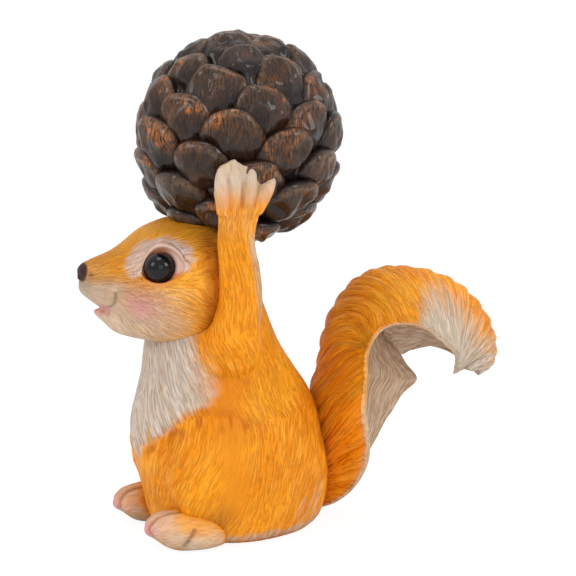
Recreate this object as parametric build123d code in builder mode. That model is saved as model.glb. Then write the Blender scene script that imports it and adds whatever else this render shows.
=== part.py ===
# A squirrel figurine that holds a pine cone on its head with both paws.
# It is made as such ornaments are: hand-painted resin castings with carved fur,
# glued together over steel dowels. Nothing on it moves.
# Frame: +Z up, the squirrel faces -Y, its left side is +X, origin on the resting face.

from build123d import *
from math import cos, pi, radians, sin, sqrt
import os

os.makedirs("parts", exist_ok=True)

# Driving dimensions in millimetres, angles in degrees
body_height = 84.0
body_half_length = 30.2
body_half_width = 24.0
body_wall = 5.0
base_rim = 6.0
base_plate_thickness = 2.5
haunch_half_length = 25.0
haunch_half_width = 11.0
haunch_half_height = 21.0
head_length = 56.0
head_half_height = 20.3
head_half_width = 22.5
neck_sink = 3.5
ear_length = 8.0
ear_half_width = 5.5
ear_half_thickness = 2.0
eye_radius = 4.8
shoulder_drop = 32.0
arm_half_width = 9.2
arm_setback = 3.0
paw_half_width = 9.0
finger_radius = 2.5
foot_length = 26.0
foot_half_width = 6.8
foot_height = 12.0
toe_radius = 2.7
tail_height = 80.0
tail_reach = 69.0
tail_half_width = 19.0
tail_depth = 19.0
tail_thickness = 6.5
tail_edge_thickness = 2.2
tail_shift = 5.0
tail_twist = 38.0
ridge_height = 1.3
cone_core_radius = 27.4
cone_sink = 3.5
scale_count = 54
scale_length = 19.0
scale_half_width = 8.4
scale_thickness = 5.6
scale_lift = 22.0
rod_radius = 2.5
dowel_radius = 1.5
dowel_depth = 4.5
glue_gap = 0.1

# Facets around the castings and the dowels
body_sides = 32
head_sides = 30
haunch_sides = 20
limb_sides = 14
digit_sides = 8
bead_sides = 16
dowel_sides = 12


# A closed ring of points: an oval with its own half sizes to the side and upwards,
# fuller than an ellipse where its fullness is under 1.
def oval(plane, half_side, half_up, sides, fullness=1.0):
    points = []
    for step in range(sides):
        turn = 2 * pi * (step + 0.5) / sides
        across = abs(cos(turn)) ** fullness * (1 if cos(turn) > 0 else -1)
        upward = abs(sin(turn)) ** fullness * (1 if sin(turn) > 0 else -1)
        points.append(plane.from_local_coords((half_side * across, half_up * upward, 0)))
    return points


# A solid stretched over a row of rings in flat facets, each pair of facets
# parted along its shorter diagonal, so that a form and its mirror image agree.
def skin(rings):
    facets = [rings[0], rings[-1]]
    for ring, following in zip(rings, rings[1:]):
        for this in range(len(ring)):
            after = (this + 1) % len(ring)
            corners = [ring[this], ring[after], following[after], following[this]]
            if (corners[2] - corners[0]).length < (corners[3] - corners[1]).length:
                facets += [corners[:3], [corners[0], corners[2], corners[3]]]
            else:
                facets += [corners[1:], [corners[0], corners[1], corners[3]]]
    return Solid(Shell([Face(Wire.make_polygon(facet)) for facet in facets]))


# A limb along a row of points, with a half width and a half thickness at each,
# its flat side turned to the given direction.
def limb(path, sizes, facing, sides):
    rings = []
    for index, (half_width, half_thickness) in enumerate(sizes):
        along = path[min(index + 1, len(path) - 1)] - path[max(index - 1, 0)]
        plane = Plane(origin=path[index], x_dir=facing.cross(along), z_dir=along)
        rings.append(oval(plane, half_width, half_thickness, sides))
    return skin(rings)


# A bead, or a capsule where its start and end lie apart
bead_shares = ((-0.97, 0.24), (-0.75, 0.66), (-0.4, 0.92), (0.0, 1.0), (0.4, 0.92), (0.75, 0.66), (0.97, 0.24))


def bead(start, end, radius, sides):
    heading = (end - start).normalized() if (end - start).length > 0 else Vector(0, 0, 1)
    rings = []
    for place_share, size_share in bead_shares:
        centre = (end if place_share > 0 else start) + heading * (radius * place_share)
        rings.append(oval(Plane(origin=centre, z_dir=heading), radius * size_share, radius * size_share, sides))
    return skin(rings)


# One column of a table of shares, read between its rows by straight lines
def between(table, place_share, column):
    for low, high in zip(table, table[1:]):
        if place_share <= high[0]:
            way = (place_share - low[0]) / (high[0] - low[0])
            return low[column] + way * (high[column] - low[column])
    return table[-1][column]


# The same, but flowing through the rows in a curve, at a place counted in rows
def flowing(table, place, column):
    row = min(int(place), len(table) - 2)
    way = place - row
    before, low, high, after = [table[min(max(row + step, 0), len(table) - 1)][column] for step in (-1, 0, 1, 2)]
    straight = low + (high - low) * way * way * (3 - 2 * way)
    return straight + ((high - before) * (1 - way) - (after - low) * way) * way * (1 - way) / 2


# Torso: height, shift towards the tail, half length and half width, from the resting face up
torso_shares = (
    (0.000, 0.020, 0.760, 0.760),
    (0.030, 0.005, 0.870, 0.880),
    (0.080, 0.000, 0.940, 0.950),
    (0.160, -0.005, 0.990, 1.000),
    (0.260, -0.045, 1.020, 1.000),
    (0.360, -0.105, 1.015, 0.990),
    (0.450, -0.130, 0.985, 0.970),
    (0.535, -0.150, 0.905, 0.940),
    (0.620, -0.200, 0.795, 0.900),
    (0.715, -0.265, 0.695, 0.840),
    (0.810, -0.280, 0.595, 0.780),
    (0.905, -0.265, 0.480, 0.690),
    (1.000, -0.265, 0.364, 0.540),
)
torso_fullness = 0.94


def torso_ring(height_share, inset):
    shift = body_half_length * between(torso_shares, height_share, 1)
    half_length = body_half_length * between(torso_shares, height_share, 2) - inset
    half_width = body_half_width * between(torso_shares, height_share, 3) - inset
    plane = Plane(origin=(0, shift, body_height * height_share))
    return oval(plane, half_width, half_length, body_sides, torso_fullness)


# Haunches: an egg on each side, from the knee in front to the rump
haunch_shares = (
    (-1.00, 0.20),
    (-0.86, 0.52),
    (-0.62, 0.80),
    (-0.32, 0.96),
    (0.00, 1.00),
    (0.35, 0.93),
    (0.66, 0.73),
    (0.88, 0.45),
    (1.00, 0.18),
)
haunch_x = body_half_width - 0.55 * haunch_half_width
haunch_y = -0.11 * body_half_length
haunch_z = 1.08 * haunch_half_height
haunch_rings = []
for place_share, size_share in haunch_shares:
    ring_centre = (haunch_x, haunch_y + haunch_half_length * place_share, haunch_z)
    ring_plane = Plane(origin=ring_centre, x_dir=(1, 0, 0), z_dir=(0, -1, 0))
    haunch_rings.append(
        oval(ring_plane, haunch_half_width * size_share, haunch_half_height * size_share, haunch_sides)
    )
left_haunch = skin(haunch_rings)

with BuildPart() as body_form:
    add(skin([torso_ring(row[0], 0) for row in torso_shares]))
    add([left_haunch, left_haunch.mirror(Plane.YZ)])

# Head: place from nose to nape, height above and below the head's axis, half width
head_shares = (
    (0.000, 0.300, -0.140, 0.090),
    (0.020, 0.345, 0.010, 0.200),
    (0.060, 0.395, 0.200, 0.310),
    (0.120, 0.450, 0.340, 0.410),
    (0.200, 0.525, 0.520, 0.550),
    (0.280, 0.650, 0.700, 0.680),
    (0.370, 0.820, 0.870, 0.830),
    (0.460, 0.920, 0.950, 0.940),
    (0.560, 0.980, 0.965, 1.000),
    (0.660, 0.980, 0.940, 0.990),
    (0.760, 0.930, 0.870, 0.920),
    (0.860, 0.790, 0.720, 0.780),
    (0.940, 0.560, 0.480, 0.540),
    (1.000, 0.200, 0.160, 0.220),
)
head_fullness = 0.96
neck_y = -0.265 * body_half_length
head_axis_z = body_height - neck_sink
nose_y = neck_y - 0.76 * head_length
head_rings = []
for place_share, up_share, down_share, side_share in head_shares:
    ring_z = head_axis_z + head_half_height * (up_share - down_share) / 2
    ring_plane = Plane(origin=(0, nose_y + head_length * place_share, ring_z), x_dir=(1, 0, 0), z_dir=(0, -1, 0))
    half_height = head_half_height * (up_share + down_share) / 2
    head_rings.append(oval(ring_plane, head_half_width * side_share, half_height, head_sides, head_fullness))

# Lower jaw, the open mouth a wedge between it and the upper lip:
# place from the nose, depth under the head's axis, half width and half thickness
jaw_shares = (
    (0.085, 0.440, 0.060, 0.045),
    (0.110, 0.480, 0.150, 0.100),
    (0.160, 0.540, 0.240, 0.130),
    (0.240, 0.620, 0.360, 0.150),
    (0.340, 0.700, 0.480, 0.160),
)
jaw_path = []
jaw_sizes = []
for place_share, down_share, side_share, thickness_share in jaw_shares:
    jaw_path.append(Vector(0, nose_y + head_length * place_share, head_axis_z - head_half_height * down_share))
    jaw_sizes.append((head_half_width * side_share, head_half_height * thickness_share))

# Ears, laid back against the head beside the arms
ear_shares = ((0.00, 0.70), (0.30, 1.00), (0.60, 0.86), (0.85, 0.50), (1.00, 0.15))
ear_root = Vector(0.66 * head_half_width, nose_y + 0.75 * head_length, head_axis_z + 0.40 * head_half_height)
ear_heading = Vector(0.30, 0.75, 0.45).normalized()
ear_path = [ear_root + ear_heading * (ear_length * row[0]) for row in ear_shares]
ear_sizes = [(ear_half_width * row[1], ear_half_thickness * row[1]) for row in ear_shares]
left_ear = limb(ear_path, ear_sizes, Vector(1, 0, 0), limb_sides)

with BuildPart() as head_form:
    add(skin(head_rings))
    add([limb(jaw_path, jaw_sizes, Vector(0, 0, 1), limb_sides), left_ear, left_ear.mirror(Plane.YZ)])

# Eyes: glossy beads set into the sides of the head
eye_centre = Vector(0.62 * head_half_width, nose_y + 0.372 * head_length, head_axis_z + 0.32 * head_half_height)
left_eye_socket = bead(eye_centre, eye_centre, eye_radius + glue_gap, bead_sides)

# Pine cone: a ball of overlapping scales on a spiral of golden-angle steps.
# Each scale leans out at its tip, less so under the ball's widest place, where it is fuller.
cone_centre = Vector(0, 0.04 * body_half_length, head_axis_z + head_half_height + cone_core_radius - cone_sink)
core_shares = ((-0.97, 0.24), (-0.85, 0.53), (-0.60, 0.80), (-0.30, 0.95), (0.00, 1.00))
core_shares += tuple((-place_share, size_share) for place_share, size_share in core_shares[-2::-1])
lower_fullness = 0.12
core_rings = []
for place_share, size_share in core_shares:
    girth = cone_core_radius * (1 + lower_fullness * max(0, -place_share))
    core_plane = Plane(origin=cone_centre + Vector(0, 0, girth * place_share))
    core_rings.append(oval(core_plane, girth * size_share, girth * size_share, haunch_sides))

golden_angle = pi * (3 - sqrt(5))
lowest_share = -0.96
highest_share = 0.98
scale_planes = []
for index in range(scale_count):
    rise = lowest_share + (highest_share - lowest_share) * (index + 0.5) / scale_count
    spread = sqrt(1 - rise**2)
    turn = index * golden_angle
    outward = Vector(spread * cos(turn), spread * sin(turn), rise)
    upward = Vector(-rise * cos(turn), -rise * sin(turn), spread)
    lean = radians(scale_lift * (1 - 0.45 * max(0, -rise)))
    facing = outward * cos(lean) - upward * sin(lean)
    seat = cone_centre + outward * (cone_core_radius * (1 + lower_fullness * max(0, -rise)))
    scale_planes.append(Plane(origin=seat, x_dir=upward.cross(outward), z_dir=facing))

# Outline of one scale, as shares of its half width and its length, and the crown that it
# rises to: distance out as a share of its thickness, and the outline's size there
scale_shares = (
    (-0.60, -0.49),
    (-0.98, -0.06),
    (-0.88, 0.28),
    (-0.42, 0.48),
    (0.42, 0.48),
    (0.88, 0.28),
    (0.98, -0.06),
    (0.60, -0.49),
)
crown_shares = ((-0.60, 0.90), (0.06, 1.00), (0.50, 0.58))
scales = []
for scale_plane in scale_planes:
    scale_rings = []
    for out_share, size_share in crown_shares:
        ring = []
        for side_share, up_share in scale_shares:
            place = (scale_half_width * side_share * size_share, scale_length * up_share * size_share)
            ring.append(scale_plane.from_local_coords((*place, scale_thickness * out_share)))
        scale_rings.append(ring)
    scales.append(skin(scale_rings))

# Arms, from the shoulder up to the cone: way out to the paw, sway towards the tail,
# way up to the middle of the cone, half width and half thickness
arm_shares = (
    (0.000, 0.050, 0.000, 0.45, 0.55),
    (0.340, 0.000, 0.055, 0.76, 0.76),
    (0.510, -0.050, 0.124, 0.92, 0.74),
    (0.570, -0.020, 0.220, 0.84, 0.66),
    (0.655, 0.115, 0.344, 0.74, 0.60),
    (0.745, 0.030, 0.480, 0.68, 0.56),
    (0.830, -0.150, 0.605, 0.62, 0.50),
    (0.890, -0.130, 0.688, 0.66, 0.46),
    (0.960, -0.020, 0.770, 0.88, 0.42),
    (1.000, 0.065, 0.839, 0.98, 0.36),
    (1.000, 0.100, 0.867, 0.70, 0.20),
)
shoulder_z = body_height - shoulder_drop
arm_x = 0.52 * body_half_width
arm_y = -0.285 * body_half_length
paw_x = 1.07 * cone_core_radius
arm_path = []
arm_sizes = []
for out_share, sway_share, rise_share, width_share, thickness_share in arm_shares:
    arm_path.append(
        Vector(
            arm_x + (paw_x - arm_x) * out_share,
            arm_y + arm_half_width * sway_share,
            shoulder_z + (cone_centre.Z - shoulder_z) * rise_share,
        )
    )
    arm_sizes.append((arm_half_width * width_share, arm_half_width * thickness_share))

# Four fingers on each paw, spread over the scales: sideways place and way up
# of the knuckle, then of the claw
finger_shares = (
    (-0.52, 0.743, -0.88, 0.897),
    (-0.29, 0.757, -0.39, 0.935),
    (0.12, 0.757, 0.23, 0.908),
    (0.46, 0.743, 1.02, 0.853),
)
finger_size_shares = ((0.00, 0.80), (0.35, 1.00), (0.70, 0.90), (1.00, 0.25))
fingers = []
for knuckle_share, knuckle_rise_share, claw_share, claw_rise_share in finger_shares:
    knuckle_z = shoulder_z + (cone_centre.Z - shoulder_z) * knuckle_rise_share
    claw_z = shoulder_z + (cone_centre.Z - shoulder_z) * claw_rise_share
    knuckle = Vector(1.015 * paw_x, arm_y + paw_half_width * knuckle_share, knuckle_z)
    claw = Vector(1.040 * paw_x, arm_y + paw_half_width * claw_share, claw_z)
    finger_path = [knuckle + (claw - knuckle) * row[0] for row in finger_size_shares]
    finger_sizes = [(finger_radius * row[1], finger_radius * row[1]) for row in finger_size_shares]
    fingers.append(limb(finger_path, finger_sizes, Vector(1, 0, 0), digit_sides))

with BuildPart() as arm_form:
    add(limb(arm_path, arm_sizes, Vector(1, 0, 0), limb_sides))
    add(fingers)


# The right arm mirrors the left one, set back a little
def to_right_arm(form):
    return form.mirror(Plane.YZ).moved(Location((0, arm_setback, 0)))


# Feet: place from toe to heel, top, sole and half width
foot_shares = (
    (0.05, 0.78, 0.50, 0.45),
    (0.12, 0.92, 0.30, 0.76),
    (0.22, 0.99, 0.12, 0.93),
    (0.36, 1.02, -0.03, 1.00),
    (0.52, 1.00, -0.06, 1.00),
    (0.75, 0.92, -0.06, 0.95),
    (1.00, 0.75, -0.06, 0.80),
)
foot_fullness = 0.9
foot_x = 0.65 * body_half_width
toe_y = -1.19 * body_half_length
foot_rings = []
for place_share, top_share, sole_share, side_share in foot_shares:
    ring_centre = (foot_x, toe_y + foot_length * place_share, foot_height * (top_share + sole_share) / 2)
    ring_plane = Plane(origin=ring_centre, x_dir=(1, 0, 0), z_dir=(0, -1, 0))
    half_height = foot_height * (top_share - sole_share) / 2
    foot_rings.append(oval(ring_plane, foot_half_width * side_share, half_height, limb_sides, foot_fullness))
toes = []
for side_share in (-0.62, 0.0, 0.62):
    toe_back = toe_radius + foot_length * 0.10 * abs(side_share)
    toe_tip = Vector(foot_x + foot_half_width * side_share, toe_y + toe_back, 0.62 * foot_height)
    toes.append(bead(toe_tip, toe_tip + Vector(0, 0.12 * foot_length, 0), toe_radius, digit_sides))

with BuildPart() as foot_form:
    add(skin(foot_rings))
    add(toes)
    split(bisect_by=Plane.XY, keep=Keep.TOP)

# Tail: a trough of long fur that rises from the back and curls over, twisted so that its
# hollow side shows. Place towards the tip, height, half width, depth of the left and of
# the right flank, and twist.
tail_shares = (
    (-0.010, 0.040, 0.22, 0.22, 0.22, 1.00),
    (0.018, 0.090, 0.45, 0.55, 0.35, 1.00),
    (0.040, 0.170, 0.68, 0.85, 0.60, 1.00),
    (0.035, 0.270, 0.84, 1.10, 0.90, 1.00),
    (0.022, 0.380, 0.95, 1.18, 1.15, 1.00),
    (0.024, 0.500, 1.00, 1.13, 1.35, 1.00),
    (0.065, 0.620, 1.00, 1.01, 1.52, 0.98),
    (0.092, 0.740, 1.00, 0.93, 1.28, 0.95),
    (0.150, 0.855, 1.00, 0.92, 1.00, 0.92),
    (0.250, 0.945, 1.00, 1.10, 0.80, 0.88),
    (0.375, 0.985, 1.00, 1.20, 0.84, 0.82),
    (0.520, 0.982, 1.00, 1.21, 1.00, 0.72),
    (0.670, 0.950, 1.00, 1.25, 1.10, 0.58),
    (0.810, 0.890, 0.97, 1.30, 1.05, 0.36),
    (0.925, 0.795, 0.92, 1.24, 0.95, 0.20),
    (0.990, 0.690, 0.84, 1.00, 0.78, 0.06),
    (1.000, 0.590, 0.68, 0.72, 0.58, 0.00),
    (0.970, 0.520, 0.42, 0.50, 0.45, 0.00),
)
fur_flank_shares = (-1.0, -0.8, -0.55, -0.25, 0.0, 0.25, 0.5, 0.72, 0.88, 1.0)
lining_flank_shares = (1.0, 0.72, 0.25, -0.25, -0.72, -1.0)
tail_root_y = 0.862 * body_half_length
last_row = len(tail_shares) - 1
spine_reach = 1.6

# Ridges of fur over the back of the tail: the step from valley to crest and from crest to
# valley, counted in rows of the table, and how the ridges run. They climb from the middle
# to the edges and droop again: row in the middle, rows climbed, share drooped.
ridge_steps = (0.42, 0.28)
ridge_shares = (
    (0.0, 0.00, 0.00),
    (2.0, 2.60, 0.00),
    (4.5, 2.40, 0.25),
    (7.0, 2.20, 0.80),
    (9.0, 1.20, 1.00),
    (11.0, 0.20, 1.00),
    (14.0, -0.30, 0.00),
    (17.0, 0.00, 0.00),
)


def spine(place):
    return Vector(
        -tail_shift,
        tail_root_y + tail_reach * flowing(tail_shares, place, 0),
        tail_height * flowing(tail_shares, place, 1),
    )


# A point of the tail on its fur or on its lining, moved out by the swell of a ridge
def tail_point(middle_place, flank_share, on_fur, swell):
    way = abs(flank_share) ** 1.4
    climb = way - between(ridge_shares, middle_place, 2) * way**3
    place = middle_place + between(ridge_shares, middle_place, 1) * climb
    width_share, left_share, right_share, twist_share = [flowing(tail_shares, place, column) for column in range(2, 6)]
    along = (spine(min(place + spine_reach, last_row)) - spine(max(place - spine_reach, 0))).normalized()
    sideways = Vector(1, 0, 0).rotate(Axis((0, 0, 0), along), -tail_twist * twist_share)
    hollow = along.cross(sideways)
    depth = tail_depth * (left_share if flank_share > 0 else right_share)
    half_width = tail_half_width * width_share
    fall = depth * flank_share**2
    if on_fur:
        outward = (sideways * (2 * depth * flank_share) - hollow * half_width).normalized()
        return spine(place) + sideways * (half_width * flank_share) + hollow * fall + outward * swell
    wall = tail_thickness + (tail_edge_thickness - tail_thickness) * flank_share**2
    lining_half_width = half_width - tail_edge_thickness * width_share
    return spine(place) + sideways * (lining_half_width * flank_share) + hollow * (fall + wall)


ring_places = [0.0]
while ring_places[-1] + sum(ridge_steps) < last_row:
    ring_places.append(ring_places[-1] + ridge_steps[(len(ring_places) - 1) % 2])
ring_places.append(float(last_row))
tail_rings = []
for index, place in enumerate(ring_places):
    swell = ridge_height / 2 if index % 2 == 1 else -ridge_height / 2
    swell = swell if 0 < place < last_row else 0
    fur_points = [tail_point(place, share, True, swell) for share in fur_flank_shares]
    lining_points = [tail_point(place, share, False, 0) for share in lining_flank_shares]
    tail_rings.append(fur_points + lining_points)

with BuildPart() as tail_form:
    add(skin(tail_rings))

# Cavity of the body casting, and the recess for the plate that closes it
cavity_top_share = 0.55
cavity_shares = [row[0] for row in torso_shares if body_height * row[0] > base_plate_thickness]
cavity_shares = [place_share for place_share in cavity_shares if place_share < cavity_top_share]
cavity_floor_share = base_plate_thickness / body_height
cavity = skin([torso_ring(share, body_wall) for share in [cavity_floor_share, *cavity_shares, cavity_top_share]])
plate_half_length = body_half_length * torso_shares[0][2] - base_rim
plate_half_width = body_half_width * torso_shares[0][3] - base_rim


def plate(gap):
    low = oval(Plane.XY, plate_half_width + gap, plate_half_length + gap, body_sides)
    return skin([low, [point + Vector(0, 0, base_plate_thickness) for point in low]])


# Where the back and the flank of the torso lie at a height
def back_of_torso(height):
    height_share = height / body_height
    return body_half_length * (between(torso_shares, height_share, 1) + between(torso_shares, height_share, 2))


def flank_of_torso(height):
    return body_half_width * between(torso_shares, height / body_height, 3)


# Places of the steel rod that carries head and cone, and of the dowels of limbs and tail
rod_bottom = 0.66 * body_height
rod_length = cone_centre.Z - 0.35 * cone_core_radius - rod_bottom
rod_plane = Plane(origin=(0, neck_y, rod_bottom))
arm_dowel_z = shoulder_z + 0.145 * (cone_centre.Z - shoulder_z)
arm_dowel_plane = Plane(origin=(flank_of_torso(arm_dowel_z), arm_y, arm_dowel_z), z_dir=(1, 0, 0))
foot_dowel_z = 0.45 * foot_height
foot_seat_y = -body_half_length * between(torso_shares, foot_dowel_z / body_height, 2)
foot_seat_y *= sqrt(1 - (foot_x / flank_of_torso(foot_dowel_z)) ** 2)
foot_dowel_plane = Plane(origin=(foot_x, foot_seat_y, foot_dowel_z), z_dir=(0, 1, 0))
tail_dowel_planes = []
for height_share in (0.17, 0.34):
    tail_dowel_z = body_height * height_share
    tail_dowel_plane = Plane(origin=(0, back_of_torso(tail_dowel_z), tail_dowel_z), z_dir=(0, 1, 0))
    tail_dowel_planes.append(tail_dowel_plane)

# Steel pins, and the sockets that they are glued into
with BuildPart() as spine_rod:
    with BuildSketch(rod_plane):
        RegularPolygon(rod_radius, dowel_sides)
    extrude(amount=rod_length)

with BuildPart() as left_arm_dowel:
    with BuildSketch(arm_dowel_plane):
        RegularPolygon(dowel_radius, dowel_sides)
    extrude(amount=dowel_depth, both=True)

with BuildPart() as left_foot_dowel:
    with BuildSketch(foot_dowel_plane):
        RegularPolygon(dowel_radius, dowel_sides)
    extrude(amount=dowel_depth, both=True)

with BuildPart() as tail_dowels:
    with BuildSketch(*tail_dowel_planes):
        RegularPolygon(dowel_radius, dowel_sides)
    extrude(amount=dowel_depth, both=True)

with BuildPart() as rod_socket:
    with BuildSketch(rod_plane.offset(-glue_gap)):
        RegularPolygon(rod_radius + glue_gap, dowel_sides)
    extrude(amount=rod_length + 2 * glue_gap)

with BuildPart() as left_arm_socket:
    with BuildSketch(arm_dowel_plane):
        RegularPolygon(dowel_radius + glue_gap, dowel_sides)
    extrude(amount=dowel_depth + glue_gap, both=True)

with BuildPart() as left_foot_socket:
    with BuildSketch(foot_dowel_plane):
        RegularPolygon(dowel_radius + glue_gap, dowel_sides)
    extrude(amount=dowel_depth + glue_gap, both=True)

with BuildPart() as tail_sockets:
    with BuildSketch(*tail_dowel_planes):
        RegularPolygon(dowel_radius + glue_gap, dowel_sides)
    extrude(amount=dowel_depth + glue_gap, both=True)

# Castings, each cut to seat on its neighbours
arm_sockets = [left_arm_socket.part, to_right_arm(left_arm_socket.part)]
foot_sockets = [left_foot_socket.part, left_foot_socket.part.mirror(Plane.YZ)]

with BuildPart() as body:
    add(body_form.part)
    add(
        [cavity, plate(glue_gap), rod_socket.part, *arm_sockets, *foot_sockets, tail_sockets.part],
        mode=Mode.SUBTRACT,
    )

with BuildPart() as base_plate:
    add(plate(0))

with BuildPart() as head:
    add(head_form.part)
    add(
        [body_form.part, left_eye_socket, left_eye_socket.mirror(Plane.YZ), rod_socket.part, *arm_sockets],
        mode=Mode.SUBTRACT,
    )

with BuildPart() as left_eye:
    add(bead(eye_centre, eye_centre, eye_radius, bead_sides))

with BuildPart() as left_arm:
    add(arm_form.part)
    add([body_form.part, head_form.part, left_arm_socket.part], mode=Mode.SUBTRACT)

with BuildPart() as right_arm:
    add(to_right_arm(arm_form.part))
    add([body_form.part, head_form.part, arm_sockets[1]], mode=Mode.SUBTRACT)

with BuildPart() as right_arm_dowel:
    add(to_right_arm(left_arm_dowel.part))

with BuildPart() as left_foot:
    add(foot_form.part)
    add([body_form.part, left_foot_socket.part], mode=Mode.SUBTRACT)

with BuildPart() as tail:
    add(tail_form.part)
    add([body_form.part, tail_sockets.part], mode=Mode.SUBTRACT)

with BuildPart() as pinecone:
    add(skin(core_rings))
    add(scales)
    add(
        [head_form.part, arm_form.part, to_right_arm(arm_form.part), rod_socket.part],
        mode=Mode.SUBTRACT,
    )

# Every piece by its name; eyes and feet on the left are mirrored to the right
pieces = {
    "body": body,
    "base_plate": base_plate,
    "head": head,
    "left_eye": left_eye,
    "left_arm": left_arm,
    "right_arm": right_arm,
    "left_foot": left_foot,
    "tail": tail,
    "pinecone": pinecone,
    "spine_rod": spine_rod,
    "left_arm_dowel": left_arm_dowel,
    "right_arm_dowel": right_arm_dowel,
    "left_foot_dowel": left_foot_dowel,
    "tail_dowels": tail_dowels,
}
for name, piece in pieces.items():
    piece.part.label = name
    export_step(piece.part, f"parts/{name}.step")
    if name in ("left_eye", "left_foot", "left_foot_dowel"):
        with BuildPart() as twin:
            add(piece.part)
            mirror(about=Plane.YZ, mode=Mode.REPLACE)
        twin.part.label = name.replace("left_", "right_")
        export_step(twin.part, f"parts/{twin.part.label}.step")
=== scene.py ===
import math
from functools import reduce
import bpy
import numpy as np
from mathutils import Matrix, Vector


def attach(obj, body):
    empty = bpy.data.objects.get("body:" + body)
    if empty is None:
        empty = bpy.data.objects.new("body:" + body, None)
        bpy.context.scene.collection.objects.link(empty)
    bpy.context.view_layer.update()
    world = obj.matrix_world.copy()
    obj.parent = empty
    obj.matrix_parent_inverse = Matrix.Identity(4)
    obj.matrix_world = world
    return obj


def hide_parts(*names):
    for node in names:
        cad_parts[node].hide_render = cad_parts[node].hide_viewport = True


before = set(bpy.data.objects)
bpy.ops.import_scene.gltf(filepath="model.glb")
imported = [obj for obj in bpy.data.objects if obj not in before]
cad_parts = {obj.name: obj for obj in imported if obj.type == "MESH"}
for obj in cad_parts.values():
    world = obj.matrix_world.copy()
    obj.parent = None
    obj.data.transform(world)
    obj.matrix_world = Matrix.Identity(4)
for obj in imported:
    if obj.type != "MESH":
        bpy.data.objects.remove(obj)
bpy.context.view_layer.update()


# Setting: the figurine stands on a plain white table. It is seen from its left front, a
# little from above, in even light from soft boxes on both sides, one by the camera and one overhead.
view_turn, view_rise = math.radians(67), math.radians(10)
towards = Vector((
    math.sin(view_turn) * math.cos(view_rise),
    -math.cos(view_turn) * math.cos(view_rise),
    math.sin(view_rise),
))
look_at = Vector((0, 0.018, 0.0755))
view_distance = 0.6023
focal_length = 118.75
scene = bpy.context.scene
scene.view_settings.view_transform = "Standard"
camera_data = bpy.data.cameras.new("camera")
camera_data.lens = focal_length
camera_data.clip_end = 100
camera = bpy.data.objects.new("camera", camera_data)
camera.location = look_at + towards * view_distance
camera.rotation_euler = towards.to_track_quat("Z", "Y").to_euler()
scene.collection.objects.link(camera)
scene.camera = camera

rightwards = Vector((math.cos(view_turn), math.sin(view_turn), 0))
upwards = towards.cross(rightwards)


def soft_box(name, right_share, up_share, front_share, width, power):
    """A square lamp a metre from the figurine, in a direction given as the camera sees it."""
    lamp = bpy.data.lights.new(name, "AREA")
    lamp.shape = "SQUARE"
    lamp.size = width
    lamp.energy = power
    made = bpy.data.objects.new(name, lamp)
    heading = rightwards * right_share + upwards * up_share + towards * front_share
    heading.normalize()
    made.location = look_at + heading
    made.rotation_euler = heading.to_track_quat("Z", "Y").to_euler()
    scene.collection.objects.link(made)


soft_box("left_soft_box", -0.78, 0.45, 0.55, 0.36, 1.9)
soft_box("right_soft_box", 0.78, 0.45, 0.5, 0.36, 2.6)
soft_box("camera_soft_box", 0.2, 0.12, 1.0, 0.5, 1.1)
soft_box("overhead_soft_box", -0.1, 1.0, 0.25, 0.42, 1.8)


def shade(red, green, blue):
    """A paint colour, from its 0 to 255 values as a screen shows them."""
    values = [value / 255 for value in (red, green, blue)]
    return tuple(v / 12.92 if v <= 0.04045 else ((v + 0.055) / 1.055) ** 2.4 for v in values) + (1,)


class Paint:
    """A value or a colour on its way through the nodes of one paint."""

    def __init__(self, tree, socket=None):
        self.tree = tree
        self.socket = socket

    def node(self, kind, settings, values, out=0):
        made = self.tree.nodes.new(kind)
        for name, setting in settings.items():
            if name == "stops":
                while len(made.color_ramp.elements) < len(setting):
                    made.color_ramp.elements.new(0.5)
                for element, (place, colour) in zip(made.color_ramp.elements, setting):
                    element.position = place
                    element.color = colour
            else:
                setattr(made, name, setting)
        for name, value in values.items():
            if isinstance(value, Paint):
                self.tree.links.new(value.socket, made.inputs[name])
            else:
                made.inputs[name].default_value = value
        return Paint(self.tree, made.outputs[out] if made.outputs else None)

    def maths(self, operation, first, second):
        return self.node("ShaderNodeMath", {"operation": operation}, {0: first, 1: second})

    def mixed(self, share, under, over):
        settings = {"data_type": "RGBA", "clamp_factor": True}
        return self.node("ShaderNodeMix", settings, {0: share, 6: under, 7: over}, out=2)

    def coated(self, under, *coats):
        """A colour with thin coats over it, each with its share and its red, green and blue."""
        for share, *colour in coats:
            under = self.mixed(share, under, shade(*colour))
        return under

    def layer(self, name):
        return self.node("ShaderNodeAttribute", {"attribute_name": name}, {}, out=2)

    def stepped(self, low, high):
        settings = {"interpolation_type": "SMOOTHSTEP"}
        return self.node("ShaderNodeMapRange", settings, {"Value": self, "From Min": low, "From Max": high})

    def noise(self, scale, detail, **more):
        return self.node("ShaderNodeTexNoise", {}, {"Vector": self, "Scale": scale, "Detail": detail, **more})

    def skin(self, values):
        """Ends a paint with one Principled skin."""
        made = self.node("ShaderNodeBsdfPrincipled", {}, values)
        self.node("ShaderNodeOutputMaterial", {}, {"Surface": made})

    def __add__(self, other):
        return self.maths("ADD", self, other)

    def __sub__(self, other):
        return self.maths("SUBTRACT", self, other)

    def __rsub__(self, other):
        return self.maths("SUBTRACT", other, self)

    def __mul__(self, other):
        return self.maths("MULTIPLY", self, other)

    __radd__ = __add__
    __rmul__ = __mul__


def open_tree(owner):
    owner.use_nodes = True
    owner.node_tree.nodes.clear()
    return Paint(owner.node_tree)


def new_paint(name):
    made = bpy.data.materials.new(name)
    return made, open_tree(made)


def seen_rays(pot):
    """1 where the camera looks straight at the surface, and 0 for light that bounces."""
    rays = pot.node("ShaderNodeLightPath", {}, {})
    return Paint(pot.tree, rays.socket.node.outputs["Is Camera Ray"])


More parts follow.
